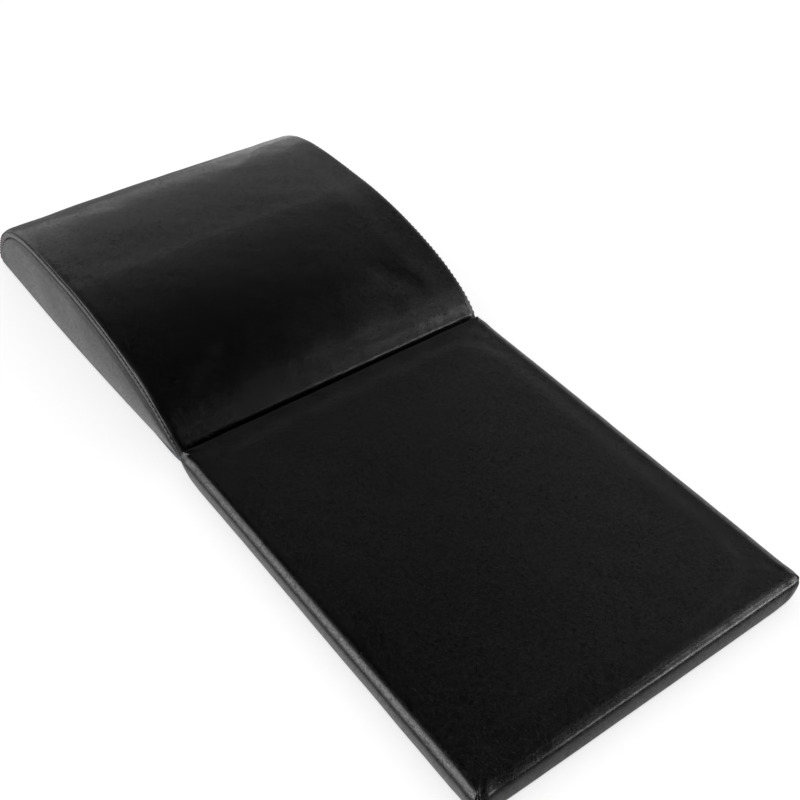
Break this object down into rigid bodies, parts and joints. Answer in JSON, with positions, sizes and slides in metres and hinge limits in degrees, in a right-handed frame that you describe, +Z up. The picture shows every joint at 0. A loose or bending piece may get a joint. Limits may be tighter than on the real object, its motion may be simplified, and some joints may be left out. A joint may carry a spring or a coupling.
{
  "type": "folding ab mat",
  "caption": "Folding ab mat: a domed lower-back wedge hinged by a cloth strip to a flat tailbone pad, foam cores in black leather cloth, with non-slip bases",
  "frame": {"origin": "on the floor, under the middle of the whole mat laid out flat", "axes": "+Z up, +X across the mat, +Y along it from the flat pad to the domed wedge"},
  "size_m": [0.3126, 0.7726, 0.081],
  "materials": {
    "leather_cloth": "grained, semi-gloss",
    "dense_foam": "matt closed-cell foam",
    "non_slip_cloth": "matt, rubber dots",
    "hinge_cloth": "woven, matt",
    "thread": "twisted thread"
  },
  "bodies": {
    "wedge": {"wedge_foam_core": "dense_foam", "wedge_top_cover": "leather_cloth", "wedge_left_panel": "leather_cloth", "wedge_right_panel": "leather_cloth", "wedge_left_topstitch": "thread", "wedge_right_topstitch": "thread", "wedge_base_cloth": "non_slip_cloth", "hinge_strip": "hinge_cloth", "hinge_wedge_stitch": "thread"},
    "pad": {"pad_foam_core": "dense_foam", "pad_cover": "leather_cloth", "pad_base_cloth": "non_slip_cloth", "hinge_pad_stitch": "thread"}
  },
  "joints": [
    {"name": "fold", "type": "hinge", "parent": "wedge", "child": "pad", "pos_m": [0, 0.0085, -0.0005], "axis": [1, 0, 0], "range_deg": [-12, 180], "deforming": ["hinge_strip"]}
  ]
}
